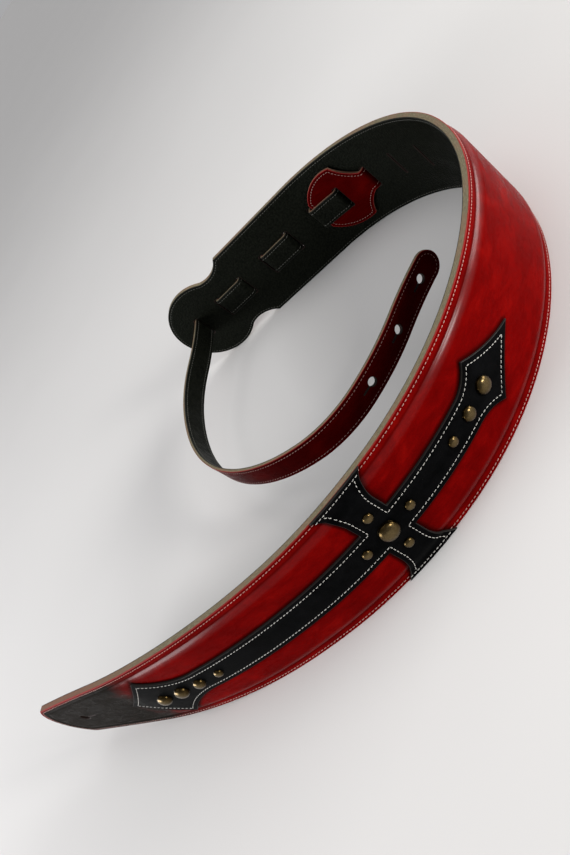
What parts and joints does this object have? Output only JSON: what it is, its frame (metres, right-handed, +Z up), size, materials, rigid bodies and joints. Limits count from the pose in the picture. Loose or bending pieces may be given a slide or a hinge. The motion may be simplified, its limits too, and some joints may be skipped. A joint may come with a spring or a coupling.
{
  "type": "guitar strap",
  "caption": "Wide padded two-tone leather guitar strap with a studded cross overlay and a narrow tail woven through adjusting slots.",
  "frame": {"origin": "centre of the strap's footprint on the surface that its lower edge stands on", "axes": "+Z up across the strap's width, +X along the longest extent of the spiral, +Y from the studded outer side towards the far slotted end"},
  "size_m": [0.4844, 0.387, 0.076],
  "materials": {
    "red_leather": "oiled, semi-gloss",
    "core_leather": "raw cut edge",
    "foam": "closed-cell foam",
    "black_lining": "pebbled, matt",
    "black_leather": "smooth, satin",
    "thread": "waxed thread",
    "antique_brass": "antique, darkened",
    "plain_brass": "plain"
  },
  "bodies": {
    "strap": {"top_leather": "red_leather", "core_leather": "core_leather", "foam_pad": "foam", "lining_leather": "black_lining", "edge_stitching": "thread", "cross_overlay": "black_leather", "overlay_stitching": "thread", "tail_woven_leather": "red_leather", "tail_woven_lining": "black_lining", "tail_head_stitching": "thread", "stud_cap_center": "antique_brass", "stud_base_center": "plain_brass", "stud_cap_large": "antique_brass", "stud_base_large": "plain_brass", "stud_cap_medium": "antique_brass", "stud_base_medium": "plain_brass", "stud_cap_small": "antique_brass", "stud_base_small": "plain_brass"},
    "free_tail": {"tail_free_leather": "red_leather", "tail_free_lining": "black_lining", "tail_free_stitching": "thread"}
  },
  "joints": [
    {"name": "tail_flex", "type": "hinge", "parent": "strap", "child": "free_tail", "pos_m": [0.05747, 0.16528, 0.038], "axis": [0, 0, 1], "range_deg": [-35, 12], "stiffness_Nm_per_rad": 0.05}
  ]
}
